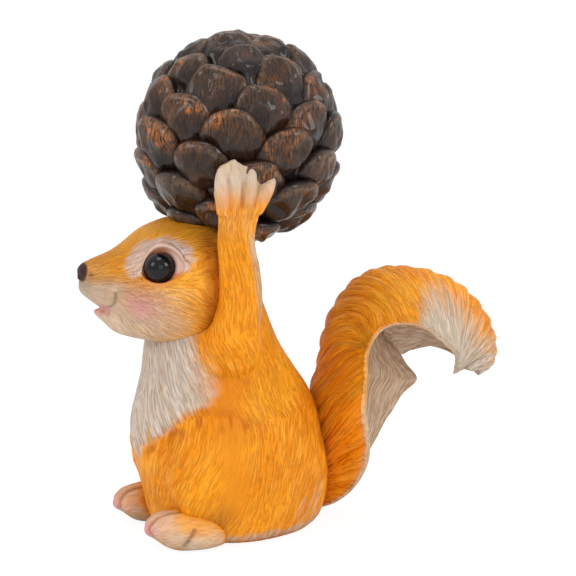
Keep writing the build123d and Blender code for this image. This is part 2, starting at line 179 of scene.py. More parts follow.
scene.world = bpy.data.worlds.new("white_studio")
pot = open_tree(scene.world)
white = shade(255, 255, 255)
sky_light = pot.node("ShaderNodeBackground", {}, {"Color": white, "Strength": 0.8})
sky_seen = pot.node("ShaderNodeBackground", {}, {"Color": white, "Strength": 1.05})
sky = pot.node("ShaderNodeMixShader", {}, {0: seen_rays(pot), 1: sky_light, 2: sky_seen})
pot.node("ShaderNodeOutputWorld", {}, {"Surface": sky})

table_paint, pot = new_paint("white_table")
table_matt = pot.node("ShaderNodeBsdfDiffuse", {}, {"Color": shade(246, 246, 246)})
table_glow = pot.node("ShaderNodeEmission", {}, {"Color": white, "Strength": 1.1})
table_mix = pot.node("ShaderNodeMixShader", {}, {0: seen_rays(pot) * 0.8, 1: table_matt, 2: table_glow})
pot.node("ShaderNodeOutputMaterial", {}, {"Surface": table_mix})
table_mesh = bpy.data.meshes.new("table")
table_reach = 12.0
table_corners = [(x * table_reach, y * table_reach, 0) for x, y in ((-1, -1), (1, -1), (1, 1), (-1, 1))]
table_mesh.from_pydata(table_corners, [], [(0, 1, 2, 3)])
table_mesh.materials.append(table_paint)
table = bpy.data.objects.new("table", table_mesh)
scene.collection.objects.link(table)


# Body: one resin casting of torso and haunches, flat underneath, with a recess for its
# base plate. The fur is combed into the wax model, and its grooves are washed in a deeper
# orange over the first coat; this deeper orange is also painted shade in the grooves, along
# the haunches' front edge and above the tail, and the crests of the fur carry a painted
# highlight. Dark brown painted shade sits on each haunch above the foot. Chest and belly
# are painted pale.
body_height, body_half_length, body_half_width = 84, 30.2, 24
haunch_x, haunch_y, haunch_z = 17.95, -3.3, 22.7
trunk_radius, trunk_middle_y = 24, -6


def most(*values):
    return reduce(np.maximum, values)


def eased(rows, count=400):
    """A table of measures made to flow: cubic curves through its rows."""
    rows = np.array(rows, float)
    place = rows[:, 0]
    slope = np.gradient(rows, place, axis=0)
    fine = np.linspace(place[0], place[-1], count)
    low = np.clip(np.searchsorted(place, fine) - 1, 0, len(place) - 2)
    width = (place[low + 1] - place[low])[:, None]
    way = (fine - place[low])[:, None] / width
    start = rows[low] * (2 * way**3 - 3 * way**2 + 1) + slope[low] * width * (way**3 - 2 * way**2 + way)
    end = rows[low + 1] * (3 * way**2 - 2 * way**3) + slope[low + 1] * width * (way**3 - way**2)
    return start + end


def drawn(points, rows, axis, fullness):
    """Distance outside a form drawn through ovals. Each row: place along it, two middles, two half sizes."""
    along = points[:, axis]
    middle_one, middle_two, half_one, half_two = [np.interp(along, rows[:, 0], row) for row in rows.T[1:]]
    one, two = [points[:, k] for k in range(3) if k != axis]
    one, two = one - middle_one, two - middle_two
    power = 2 / fullness
    size = ((np.abs(one) / half_one) ** power + (np.abs(two) / half_two) ** power) ** (1 / power) + 1e-9
    across = np.hypot(one, two) * (1 - 1 / size)
    return most(across, rows[0, 0] - along, along - rows[-1, 0])


def blend(first, second, reach):
    """Two forms run together with clay over the joint."""
    way = np.clip(0.5 + 0.5 * (second - first) / reach, 0, 1)
    return second + (first - second) * way - reach * way * (1 - way)


def rising(low, high, value):
    """0 under the low mark, 1 over the high mark, eased between them."""
    way = np.clip((value - low) / (high - low), 0, 1)
    return way * way * (3 - 2 * way)


def bump(value, width):
    """1 at a value of 0, falling to nothing at about twice the width."""
    return np.exp(-((value / width) ** 2))


def slope_of(form, points):
    """How fast the distance outside a form grows in x, y and z."""
    reach = 0.12
    rises = [form(points + side) - form(points - side) for side in np.eye(3) * reach]
    return np.stack(rises, 1) / (2 * reach)


def cast(form, low, high, grain):
    """A closed mesh of four-sided faces where the form's distance is zero, with its outward directions."""
    counts = [int(math.ceil((b - a) / grain)) + 1 for a, b in zip(low, high)]
    ticks = [a + grain * np.arange(n) for a, n in zip(low, counts)]
    depth = np.empty(counts)
    flat_y, flat_z = [grid.ravel() for grid in np.meshgrid(ticks[1], ticks[2], indexing="ij")]
    for index, x in enumerate(ticks[0]):
        depth[index] = form(np.stack([np.full(len(flat_y), x), flat_y, flat_z], 1)).reshape(counts[1:])
    cells = [n - 1 for n in counts]
    total = np.zeros((4, int(np.prod(cells))))
    corners = []
    for axis in range(3):
        near, far = [slice(None)] * 3, [slice(None)] * 3
        near[axis], far[axis] = slice(None, -1), slice(1, None)
        near_depth, far_depth = depth[tuple(near)], depth[tuple(far)]
        crossed = np.argwhere((near_depth < 0) != (far_depth < 0))
        first, second = near_depth[tuple(crossed.T)], far_depth[tuple(crossed.T)]
        place = np.column_stack([crossed, np.ones(len(crossed))])
        place[:, axis] += first / (first - second)
        sides = [(axis + 1) % 3, (axis + 2) % 3]
        ring = []
        for shift in ((0, 0), (-1, 0), (-1, -1), (0, -1)):
            cell = crossed.copy()
            cell[:, sides] += shift
            key = np.ravel_multi_index(cell.T, cells)
            ring.append(key)
            for k in range(4):
                total[k] += np.bincount(key, place[:, k], total.shape[1])
        ring = np.stack(ring, 1)
        ring[first > 0] = ring[first > 0][:, ::-1]
        corners.append(ring)
    used = np.flatnonzero(total[3])
    renumber = np.zeros(total.shape[1], int)
    renumber[used] = np.arange(len(used))
    points = (total[:3, used] / total[3, used]).T * grain + np.array(low)
    for _ in range(2):
        slope = slope_of(form, points)
        push = form(points) / most((slope**2).sum(1), 0.2)
        points = points - slope * np.clip(push, -grain / 2, grain / 2)[:, None]
    slope = slope_of(form, points)
    outward = slope / np.linalg.norm(slope, axis=1, keepdims=True)
    return points, renumber[np.concatenate(corners)], outward


dice = np.random.default_rng(7).random(65536)


def mottle(points, size, seed):
    """Soft random values from 0 to 1, in lumps of about one size."""
    cell = points / size + 17.3 * seed
    base = np.floor(cell).astype(np.int64)
    part = cell - base
    part = part * part * (3 - 2 * part)
    total = np.zeros(len(points))
    for x, y, z in np.ndindex(2, 2, 2):
        key = (base[:, 0] + x) * 73856093 ^ (base[:, 1] + y) * 19349663 ^ (base[:, 2] + z) * 83492791
        share = np.abs(1 - x - part[:, 0]) * np.abs(1 - y - part[:, 1]) * np.abs(1 - z - part[:, 2])
        total += share * dice[key & 65535]
    return total


def flat_mottle(first, second, seed):
    """The same over a surface, from two places on it, in lumps of size 1."""
    places = np.stack([first.ravel(), second.ravel(), np.zeros(first.size)], 1)
    return mottle(places, 1, seed).reshape(first.shape)


def strokes(across, along, width, length, seed):
    """Random values drawn out into strokes along the fur, spread round 0 by about 1."""
    values = flat_mottle(across / width, along / length, seed)
    return (values - values.mean()) / values.std()


def piece(name, points, faces, layers, paint, nodes):
    """One rigid piece of the figurine, from points in millimetres, with its paint's layers."""
    mesh = bpy.data.meshes.new(name)
    mesh.from_pydata((points * 0.001).tolist(), [], faces if isinstance(faces, list) else faces.tolist())
    mesh.polygons.foreach_set("use_smooth", np.ones(len(mesh.polygons), bool))
    for layer, values in layers.items():
        values = np.full(len(points), values, np.float32)
        mesh.attributes.new(layer, "FLOAT", "POINT").data.foreach_set("value", values)
    mesh.materials.append(paint)
    made = bpy.data.objects.new(name, mesh)
    scene.collection.objects.link(made)
    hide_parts(*nodes)
    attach(made, "root")


def fur_layers(**layers):
    """Every layer that fur_paint reads, 0 where none is given."""
    names = "groove ridge pale ochre blush dark smooth across along haunch_across haunch"
    return {name: layers.get(name, 0) for name in names.split()}


torso_rows = eased([
    (body_height * up, 0, body_half_length * shift, body_half_width * wide, body_half_length * long)
    for up, shift, long, wide in (
        (0, 0.02, 0.76, 0.76), (0.03, 0.005, 0.87, 0.88), (0.08, 0, 0.94, 0.95),
        (0.16, -0.005, 0.99, 1), (0.26, -0.045, 1.02, 1), (0.36, -0.105, 1.015, 0.99),
        (0.45, -0.13, 0.985, 0.97), (0.535, -0.15, 0.905, 0.94), (0.62, -0.2, 0.795, 0.9),
        (0.715, -0.265, 0.695, 0.84), (0.81, -0.28, 0.595, 0.78), (0.905, -0.265, 0.48, 0.69),
        (1, -0.265, 0.364, 0.54),
    )
])
haunch_rows = eased([
    (haunch_y + 25 * place, haunch_x, haunch_z, 11 * size, 21 * size)
    for place, size in (
        (-1, 0.16), (-0.86, 0.52), (-0.62, 0.8), (-0.32, 0.96), (0, 1),
        (0.35, 0.93), (0.66, 0.73), (0.88, 0.45), (1, 0.14),
    )
])
plate_half_width, plate_half_length, plate_thickness = 12.34, 17.05, 2.6


def mirrored_side(points):
    """The same places, all brought over to the left side."""
    return np.stack([np.abs(points[:, 0]), points[:, 1], points[:, 2]], 1)


def torso(points):
    """Torso and haunches, without the flat underside."""
    return blend(drawn(points, torso_rows, 2, 0.94), drawn(mirrored_side(points), haunch_rows, 1, 1), 6)


def body_form(points):
    """The whole casting: flat underneath, with the recess for its plate."""
    recess = np.hypot(points[:, 0] / plate_half_width, points[:, 1] / plate_half_length)
    recess = most((recess - 1) * plate_half_width, points[:, 2] - plate_thickness)
    return most(torso(points), -points[:, 2], -recess)


def way_round(points):
    """Way round the trunk from the middle of the chest."""
    return trunk_radius * np.arctan2(np.abs(points[:, 0]), trunk_middle_y - points[:, 1])


def haunch_edge(y):
    """Height of the haunches' upper edge, where their fur lies over that of the trunk."""
    places = (-33, -30.5, -27.4, -23.4, -18.8, -13.8, -8.3, -2, 6, 26)
    return np.interp(y, places, (30, 33.6, 37.2, 40.5, 42.2, 42, 40.5, 39, 40, 42))


def body_fur(points):
    """Places across the trunk's fur and the haunches' fur, and depth inside the haunches' edge."""
    y, z = points.T[1:]
    round_trunk = way_round(points)
    sweep = np.interp(round_trunk, (0, 20, 38, 52, 75), (0.25, 0.5, 0.45, 0.05, -0.05))
    trunk_across = round_trunk + sweep * (z - 60)
    backwards = np.where(y < trunk_middle_y, round_trunk - 43.7, y)
    sweep = np.interp(backwards, (-40, -30, -12, -2, 8, 26), (-0.1, -0.45, -0.4, -0.15, -0.25, -0.5))
    low_z = np.minimum(z, 44)
    haunch_across = backwards + sweep * (low_z - 20) + 0.02 * most(0, low_z - 28) ** 2 * rising(14, -14, y)
    inside = haunch_edge(y) - z + 3 * (mottle(points, 2.2, 3) - 0.5)
    return trunk_across, haunch_across, inside


def pale_chest(points):
    """How far the pale paint of chest and belly covers the orange."""
    heights = (17, 24, 30, 33, 36, 41, 45, 48, 57, 63, 84)
    edge = np.interp(points[:, 2], heights, (-6, -2, 3, 6, 10, 15, 21, 23, 20, 18, 17))
    edge = edge + 6 * (mottle(points, 7, 11) - 0.5) + 2.5 * (mottle(points, 2, 12) - 0.5)
    spread = np.interp(points[:, 2], (30, 42, 50), (0.45, 0.6, 1.15))
    return rising(8, -2, (way_round(points) - edge) / spread)


def fur_paint(name, deep, bright, pale, gloss, stroke, length):
    """Orange coat with fine carved strokes along the fur, with pale, pink and dark parts over it."""
    made, pot = new_paint(name)
    place = pot.node("ShaderNodeNewGeometry", {}, {})
    clouds, specks = place.noise(60.0, 3.0), place.noise(420.0, 2.0)

    def lines(across, width, reach):
        wave = pot.layer(across) * (1 / width) + clouds * 2.0
        spot = pot.node("ShaderNodeCombineXYZ", {}, {0: wave, 1: pot.layer("along") * (1 / reach)})
        return spot.noise(1.0, 1.6, Roughness=0.55)

    def combed(width, reach):
        trunk = lines("across", width, reach)
        return trunk + pot.layer("haunch") * (lines("haunch_across", width, reach) - trunk)

    fine, bold = combed(stroke, length), combed(stroke * 3.4, length * 3.0)
    hair = 1.0 - pot.layer("smooth")
    groove, ridge, pale_share = pot.layer("groove"), pot.layer("ridge"), pot.layer("pale")
    # Dark lines along the carved strokes are partly the wash and partly painted shade; light lines on their
    # crests are painted highlight.
    dark_lines = fine.stepped(0.49, 0.38) * hair
    light_lines = fine.stepped(0.53, 0.66) * hair
    coat = pot.coated(
        pot.mixed(clouds.stepped(0.38, 0.64), shade(*deep), shade(*bright)),
        (bold.stepped(0.5, 0.66) * hair * 0.35, 250, 176, 52),
        # Painted highlight on the crests of the strokes and on the ridges.
        (light_lines * 0.32 + ridge * 0.3, 252, 184, 74),
        (pot.layer("smooth") * 0.7, 202, 116, 10),
        # Deeper orange: the wash in the grooves, and painted shade in creases and where parts meet.
        (groove * 0.7, 186, 90, 0),
        # Dark lines: the wash in the carved strokes together with their painted shade.
        (dark_lines * (0.3 + 0.4 * groove), 196, 98, 0),
    )
    under = pot.coated(
        shade(*pale),
        (clouds.stepped(0.4, 0.6) * 0.5, 212, 196, 182),
        (bold.stepped(0.5, 0.38) * hair * 0.35, 196, 164, 122),
        # Painted highlight on the crests and ridges of the pale fur.
        (light_lines * 0.45 + ridge * 0.35, 232, 222, 210),
        # The pale parts darken the same way: the wash and painted shade in grooves and carved lines.
        (groove * 0.45, 150, 112, 72),
        (dark_lines * (0.4 + 0.4 * groove), 160, 124, 86),
        (pot.layer("ochre"), 214, 146, 44),
    )
    edge = pale_share + (bold - 0.5) * pale_share * (1.0 - pale_share) * 2.6
    coat = pot.coated(
        pot.mixed(edge, coat, under),
        (pot.layer("blush"), 230, 160, 154),
        # Dark brown: the nose and the lines of mouth and lids, and painted shade beside the arm, above the
        # feet, between the fingers and at the tail's root.
        (pot.layer("dark"), 58, 34, 26),
        (specks.stepped(0.7, 0.8) * 0.15, 150, 92, 34),
    )
    rough = 0.46 + dark_lines * 0.14 - light_lines * 0.06 + clouds * 0.08
    relief = light_lines * 0.6 - dark_lines + bold * hair * 1.2 + specks * 0.15
    height = pot.node("ShaderNodeBump", {}, {"Strength": 0.8, "Distance": 0.0005, "Height": relief})
    pot.skin({
        "Base Color": coat, "Roughness": rough, "Normal": height,
        "Specular IOR Level": 0.14, "Coat Weight": gloss, "Coat Roughness": 0.28,
    })
    return made


points, faces, outward = cast(body_form, (-31, -36, -1), (31, 32, 86), grain=0.476)
x, y, z = points.T
trunk_across, haunch_across, inside = body_fur(points)
haunch = rising(-0.5, 0.5, inside)
trunk_lines = strokes(trunk_across, z, 1.3, 8, 1)
haunch_lines = strokes(haunch_across, z, 1.3, 6, 2)
relief = trunk_lines + haunch * (haunch_lines - trunk_lines)
calm = 0.8 * bump(y + 11.5, 5.5) * rising(6, 14, z) * rising(62, 52, z) * rising(10, 16, np.abs(x))
calm = most(calm, rising(0.6, 0, z))
carved = rising(0.75, 2, -relief) * (1 - calm)
front = rising(4, -8, y) * rising(24, 32, z)
tufts = rising(-0.3, 0.9, strokes(haunch_across, z, 1.7, 6, 4)) * bump(inside - 1.6, 2.6) * front
carved = most(carved, tufts)
pale = pale_chest(points)
hem = rising(5, 2, z + 2.5 * (mottle(points, 3, 5) - 0.5)) * rising(0.8, 1.6, z) * rising(-24, -14, y)
streaks = rising(0.4, 1.4, strokes(haunch_across, z, 2.4, 9, 6))
streaks = streaks * rising(6, 16, y) * rising(22, 12, z) * rising(26, 21, y)
pale = most(pale, 0.75 * hem, 0.45 * streaks)
ochre = rising(0.6, 0.72, mottle(points * (1, 1, 0.5), 1.9, 21))
ochre = ochre * bump(z - 32, 7) * bump(way_round(points) - 9, 5)
# Painted shade: dark brown on each haunch just above the back of the foot, and deeper orange above the tail
# and along the haunches' front edge, over the wash in the tufts there.
dark = 0.35 * bump(np.hypot(y + 16, z - 9.5), 5) * rising(17, 21, np.abs(x))
notch_shade = rising(10, 24, y) * bump(z - 46, 16)
groove = most(0.95 * tufts, 0.5 * notch_shade, 0.45 * bump(inside + 1.2, 1.2) * front)
ridge = 0.6 * rising(0.9, 2.2, relief) * (1 - calm)
swell = 0.5 * rising(-0.8, 0.8, inside) * bump(inside, 7) * front
points = points + outward * (0.06 * ridge - 0.26 * carved + swell)[:, None]
layers = fur_layers(
    groove=groove, ridge=ridge, pale=pale, ochre=ochre, dark=dark, smooth=calm,
    across=trunk_across, along=z, haunch_across=haunch_across, haunch=haunch,
)
body_paint = fur_paint(
    "body_fur", (234, 138, 8), (248, 158, 20), (204, 186, 170),
    gloss=0.06, stroke=0.55, length=6.5,
)
piece("body_casting", points, faces, layers, body_paint, ["body"])


# Head: its own casting, seated on the neck and cast with its ears. The lids, the mouth and
# the nose are carved; the eye is ringed in pinkish white and the cheek is dabbed pink.
nose_y, head_axis_z = -50.56, 80.5
head_length, head_half_width, head_half_height = 56, 22.5, 20.3
head_rows = eased([
    (
        nose_y + head_length * place, 0, head_axis_z + head_half_height * (up - down) / 2,
        head_half_width * wide, head_half_height * (up + down) / 2,
    )
    for place, up, down, wide in (
        (0, 0.3, -0.14, 0.09), (0.02, 0.345, 0.01, 0.2), (0.06, 0.395, 0.2, 0.31),
        (0.12, 0.45, 0.34, 0.41), (0.2, 0.525, 0.52, 0.55), (0.28, 0.65, 0.7, 0.68),
        (0.37, 0.82, 0.87, 0.83), (0.46, 0.92, 0.95, 0.94), (0.56, 0.98, 0.965, 1),
        (0.66, 0.98, 0.94, 0.99), (0.76, 0.93, 0.87, 0.92), (0.86, 0.79, 0.72, 0.78),
        (0.94, 0.56, 0.48, 0.54), (1, 0.2, 0.16, 0.22),
    )
])
jaw_rows = eased([
    (-46, 0, 72.5, 0.8, 0.5), (-45.2, 0, 72.2, 2.4, 1.1), (-43.2, 0, 71.2, 4.4, 2),
    (-40.5, 0, 69.9, 7, 3.4), (-35.5, 0, 68.3, 9.6, 4), (-29, 0, 67.2, 12, 4),
    (-24, 0, 67.5, 12, 3),
])
eye_centre = np.array([13.95, -29.7, 87])
eye_out = np.array([0.859, -0.32, 0.4])
eye_back = np.array([0.349, 0.937, 0])
eye_up = np.cross(eye_out, eye_back)
eye_radius = 4.8
seat_gap = 0.05
eye_folds = (5.9, 7, 8.1)
ear_middle = np.array([16.2, -5.2, 90.7])
ear_axes = np.array([(0.324, 0.811, 0.487), (0, -0.515, 0.857)])
ear_axes = [*ear_axes, np.cross(*ear_axes)]
mouth_line = ((-46.2, 75.2), (-43.6, 74.6), (-42.3, 75.6), (-42, 77.6), (-42.3, 79.6))


def eye_place(points):
    """Places round the left eye: backwards, upwards and outwards."""
    from_eye = mirrored_side(points) - eye_centre
    return from_eye @ eye_back, from_eye @ eye_up, from_eye @ eye_out


def lid_gap(back, up):
    """Distance outside the almond-shaped opening between the lids."""
    front_end, back_end = -5.2, 7.6
    way = np.clip((back - front_end) / (back_end - front_end), 0, 1)
    base = -1.8 + 1.4 * way
    roof = base + 7.3 * np.sin(np.pi * way**0.8) ** 0.65
    floor = base - 3.9 * np.sin(np.pi * way) ** 0.6
    beyond = most(front_end - back, back - back_end)
    return np.where(beyond > 0, np.hypot(beyond, up - base), most(up - roof, floor - up))


def eye_corner(back, up, width):
    """Folds of skin in front of the eye."""
    folds = most(*[bump(back + first + 0.15 * up, width) for first in eye_folds])
    return folds * rising(1.5, -0.5, up) * rising(-5.5, -3.5, up)


def egg(points, middle, frame_axes, radii):
    """Distance outside an egg with its own axes and radii."""
    from_middle = points - middle
    size = np.sqrt(sum(((from_middle @ axis) / radius) ** 2 for axis, radius in zip(frame_axes, radii)))
    return np.linalg.norm(from_middle, axis=1) * (1 - 1 / most(size, 1e-6))


def beside(across, height, start, end):
    """Share of the way along a straight line and distance from it, in a side view."""
    run, rise = end[0] - start[0], end[1] - start[1]
    way = np.clip(((across - start[0]) * run + (height - start[1]) * rise) / (run * run + rise * rise), 0, 1)
    return way, np.hypot(across - start[0] - way * run, height - start[1] - way * rise)


def off_line(across, height, line):
    """Distance in a side view from a line of points."""
    return np.minimum.reduce([beside(across, height, start, end)[1] for start, end in zip(line, line[1:])])


def nose_pad(points):
    x, y, z = points.T
    pad_y, pad_z = -49.4, 85.2
    leaned = np.stack([x, y - pad_y - 0.36 * (z - pad_z), z - pad_z], 1)
    return egg(leaned, np.zeros(3), np.eye(3), (2.9, 1.4, 2.6))


def skull(points):
    return blend(drawn(points, head_rows, 1, 0.96), drawn(points, jaw_rows, 1, 1), 1.2)


def head_form(points):
    side = mirrored_side(points)
    x, y, z = side.T
    form = blend(skull(points), egg(side, np.array([4.4, -44.4, 79.8]), np.eye(3), (4.2, 5, 3.9)), 2.2)
    form = blend(form, nose_pad(points), 0.7)
    ear = egg(side, ear_middle, ear_axes, (5.4, 5.2, 2.2))
    ear = most(ear, -egg(side, ear_middle + ear_axes[2] * 2.2, ear_axes, (4, 3.7, 1.9)))
    form = blend(form, ear, 1.5)
    back, up, out = eye_place(points)
    gap = lid_gap(back, up)
    near = rising(-7, -3, out)
    form = form + near * 1.7 * rising(0.4, -0.8, gap)
    form = form - near * 0.55 * bump(gap - 0.7, 0.65)
    form = form + near * 0.45 * bump(gap - 1.9, 0.4) * rising(-2, 1, up) * rising(-2, 3, back)
    form = form - near * 0.2 * bump(gap - 3, 0.8) * rising(-1, 2, up)
    form = form + near * 0.25 * eye_corner(back, up, 0.38)
    form = most(form, eye_radius + 0.1 - np.linalg.norm(side - eye_centre, axis=1))
    form = form + 0.75 * bump(off_line(y, z, mouth_line), 0.55) * rising(3, 6, x)
    form = form + 0.5 * bump(x, 0.5) * rising(83, 82, z) * rising(77, 78.5, z) * rising(-44, -47, y)
    form = form + 0.7 * bump(np.linalg.norm(side - np.array([1.5, -51.2, 84]), axis=1), 0.7)
    form = form + 0.4 * bump(np.hypot(y + 48.6, z - 84.6), 0.6) * rising(1.5, 3, x)
    return most(form, -torso(points) - seat_gap)


points, faces, outward = cast(head_form, (-25, -53, 60), (25, 8, 103), grain=0.36)
x, y, z = mirrored_side(points).T
back, up, out = eye_place(points)
gap = lid_gap(back, up)
turn = np.arctan2(x, z - 81.5)
across = 17 * turn - 0.38 * (y + 30) * rising(86, 76, z) + 0.2 * (y + 30) * rising(86, 94, z)
across = across + 3 * bump(np.hypot(back / 13, up / 11), 1) * np.tanh(up / 3)
fine = strokes(across, y, 1.05, 5, 4)
nose = rising(-49.2, -49.7, y - 0.22 * (z - 85)) * rising(81.8, 82.6, z) * rising(88.3, 87.5, z)
near = rising(-5, -3, out)
inner = rising(0.3, -0.3, gap) * near
lids = rising(1.9, 0.9, gap) * near
muzzle = rising(85.5, 81, z) * rising(-35, -43, y)
smooth = most(nose, 0.9 * lids, 0.6 * muzzle)
carved = rising(0.9, 2.2, -fine) * (1 - smooth)
ridge = 0.4 * rising(0.8, 2.2, fine) * (1 - smooth)
soft = mottle(points, 7, 8) - 0.5
lower_face = rising(86, 70, z + 0.3 * (y + 33) + 5 * soft) * rising(-16, -32, y + 6 * soft)
patch = np.hypot((back - 0.1) / 10.4, (up - 1.4) / 8.4) + 0.26 * (mottle(points, 2, 9) - 0.5)
patch = rising(1.12, 0.84, patch) * rising(-7, -4, out)
patch = patch * rising(-3, -1, up + 0.3 * np.clip(-back - 4, 0, 9))
pale = most(0.8 * lower_face, 0.85 * muzzle, patch)
blush = 0.85 * bump(np.hypot((y + 36.6) / 1.1, z - 75.2), 5) * rising(9, 13, x)
lip = rising(2.4, 1.2, off_line(y, z, ((-47.6, 72.6), (-44.6, 73.6), (-43.4, 74.2)))) * rising(7, 5, x)
blush = most(blush, 0.28 * patch, 0.55 * lip, 0.35 * inner * rising(1, 4, back))
off_bead = np.linalg.norm(mirrored_side(points) - eye_centre, axis=1) - eye_radius
dark = most(
    nose,
    0.8 * rising(1.2, 0.2, off_bead) * inner * rising(-2, 2, back),
    0.55 * bump(gap - 1.9, 0.32) * rising(-1, 1.5, up) * near * rising(1, 4, back),
    0.16 * eye_corner(back, up, 0.3) * near,
    0.35 * bump(off_line(y, z, mouth_line), 0.4) * rising(3, 6, x),
    # Painted shade on the side of the head where the arm rises beside it.
    0.16 * rising(-20.5, -15, y) * rising(12, 18, x),
    0.6 * bump(np.hypot(y + 48.4, z - 84.8), 0.5) * rising(1.5, 3, x),
)
inner_front = inner * rising(4.5, 1, back)
groove = most(
    0.85 * inner_front,
    0.35 * bump(gap - 0.1, 0.4) * near,
    # Painted shade beside the arm and under the jaw.
    0.85 * rising(-21, -15, y) * rising(12, 18, x),
    0.5 * rising(74, 69, z) * rising(-22, -14, y),
)
points = points + outward * (0.04 * ridge - 0.14 * carved)[:, None]
layers = fur_layers(
    groove=groove, ridge=ridge, pale=pale * (1 - 0.8 * inner_front), blush=blush, dark=dark, smooth=smooth,
    across=across, along=y, haunch_across=across,
)
head_paint = fur_paint(
    "head_fur", (228, 146, 28), (242, 166, 48), (212, 190, 164),
    gloss=0.06, stroke=0.36, length=4.2,
)
piece("head_casting", points, faces, layers, head_paint, ["head"])


# Eyes: two beads of black glass with a dark brown rim, a little fuller in front. Each is
# glued into its socket in the head, and the lids close over its edge.
def ring_faces(rows, ring):
    """Four-sided faces over rows of points, each row a closed ring."""
    here = np.arange(rows * ring).reshape(rows, ring)
    after = np.roll(here, -1, axis=1)
    return np.stack([here[:-1], here[1:], after[1:], after[:-1]], -1).reshape(-1, 4)


def turned_ball(middle, axes, reach, steps, turns):
    """Points and faces of a ball turned round the last of its axes, its reach given by the angle from it."""
    angle = (np.pi * np.arange(steps + 1) / steps)[:, None, None]
    way = (2 * np.pi * np.arange(turns) / turns)[None, :, None]
    flat = axes[0] * np.cos(way) + axes[1] * np.sin(way)
    points = middle + reach(angle) * (axes[2] * np.cos(angle) + flat * np.sin(angle))
    return points.reshape(-1, 3), ring_faces(steps + 1, turns)


def bead_reach(angle):
    """The bead's front bulges a little, and its back is flattened."""
    bulge = 0.025 * bump(angle, 0.55) - 0.06 * most(0, -np.cos(angle)) ** 3
    return eye_radius * (1 + bulge)


def both_sides(limb, form, points, faces, layers, paint):
    """A piece made for the left side, and its mirror image on the right."""
    for side, mirror in (("left", 1), ("right", -1)):
        name = f"{side}_{limb}_{form}"
        piece(name, points * (mirror, 1, 1), faces[:, ::mirror], layers, paint, [f"{side}_{limb}"])


eye_paint, pot = new_paint("black_glass")
bead_tint = pot.mixed(pot.layer("rim").stepped(0.3, 0.42), shade(12, 12, 13), shade(46, 20, 12))
pot.skin({
    "Base Color": bead_tint, "Roughness": 0.14,
    "Specular IOR Level": 0.12, "Coat Weight": 0.35, "Coat Roughness": 0.05,
})
bead_steps, bead_turns = 36, 56
bead_axis = eye_out / np.linalg.norm(eye_out)
bead_side = np.cross(bead_axis, (0, 0, 1))
bead_side = bead_side / np.linalg.norm(bead_side)
bead_axes = (bead_side, np.cross(bead_side, bead_axis), bead_axis)
points, faces = turned_ball(eye_centre, bead_axes, bead_reach, bead_steps, bead_turns)
rim_share = np.repeat(np.arange(bead_steps + 1) / bead_steps, bead_turns)
both_sides("eye", "bead", points, faces, {"rim": rim_share}, eye_paint)


# Arms: a casting for each, doweled to the shoulder and run into the torso with filler. The
# paws lie on the cone with four clawed fingers and pale skin between them.
shoulder_x, shoulder_y, shoulder_z = 12.48, -8.6, 52
arm_out, arm_height, arm_half_width = 16.84, 72.7, 9.2
paw_x, wrist_z = 29.8, 103.4
arm_rows = eased([
    (
        shoulder_z + arm_height * rise, shoulder_x + arm_out * out, shoulder_y + arm_half_width * sway,
        arm_half_width * thick, arm_half_width * wide,
    )
    for out, sway, rise, wide, thick in (
        (0, 0.05, 0, 0.45, 0.55), (0.34, 0, 0.055, 0.76, 0.76), (0.51, -0.05, 0.124, 0.92, 0.74),
        (0.57, -0.02, 0.22, 0.84, 0.66), (0.655, 0.115, 0.344, 0.74, 0.6),
        (0.745, 0.03, 0.48, 0.68, 0.56), (0.83, -0.15, 0.605, 0.62, 0.5),
        (0.9, -0.13, 0.688, 0.66, 0.44), (0.945, -0.02, 0.77, 0.86, 0.3),
        (0.965, 0.065, 0.829, 0.92, 0.2), (0.965, 0.1, 0.845, 0.7, 0.1),
    )
])
finger_lines = (
    ((-15.4, 105.5), (-16.6, 118)),
    ((-12.3, 106), (-11.9, 120.3)),
    ((-7.9, 106), (-6.2, 118.4)),
    ((-4.4, 105.5), (0.5, 114.9)),
)
web_edge = np.array([
    (-17.8, 116.4), (-16, 118.8), (-14.2, 119.5), (-12, 120.6),
    (-9, 118.7), (-5.5, 117.9), (-2, 116.2), (1.5, 114),
])


def fingers(points):
    """Distance outside the four fingers, each thinning to its claw."""
    x, y, z = points.T
    forms = []
    for start, end in finger_lines:
        way, across = beside(y, z, start, end)
        girth = np.interp(way, (0, 0.35, 0.62, 0.74, 0.9, 1), (1.9, 2.1, 2, 1.75, 1.25, 0.4))
        forms.append(np.hypot(across, (x - paw_x - 0.7 * way) * 1.1) - girth)
    return np.minimum.reduce(forms)


def paw(points):
    x, y, z = points.T
    skin = most(np.abs(x - paw_x) - 0.8, z - np.interp(y, web_edge[:, 0], web_edge[:, 1]))
    lean = (z - 104) / 12
    skin = most(skin, -13 - 3.6 * lean - y, y + 5 - 5.6 * lean, 106 - z)
    return blend(fingers(points), skin, 0.35)


def arm_form(points):
    arm = blend(drawn(points, arm_rows, 2, 1), paw(points), 1.2)
    arm = arm + 0.15 * bump(points[:, 2] - wrist_z, 0.6) * rising(26, 28, points[:, 0])
    chest = torso(points - arm_shift)
    joined = blend(arm, chest + 0.35, 5)
    return most(joined, -chest - 1.2, arm - 5, -skull(points - arm_shift) - seat_gap)


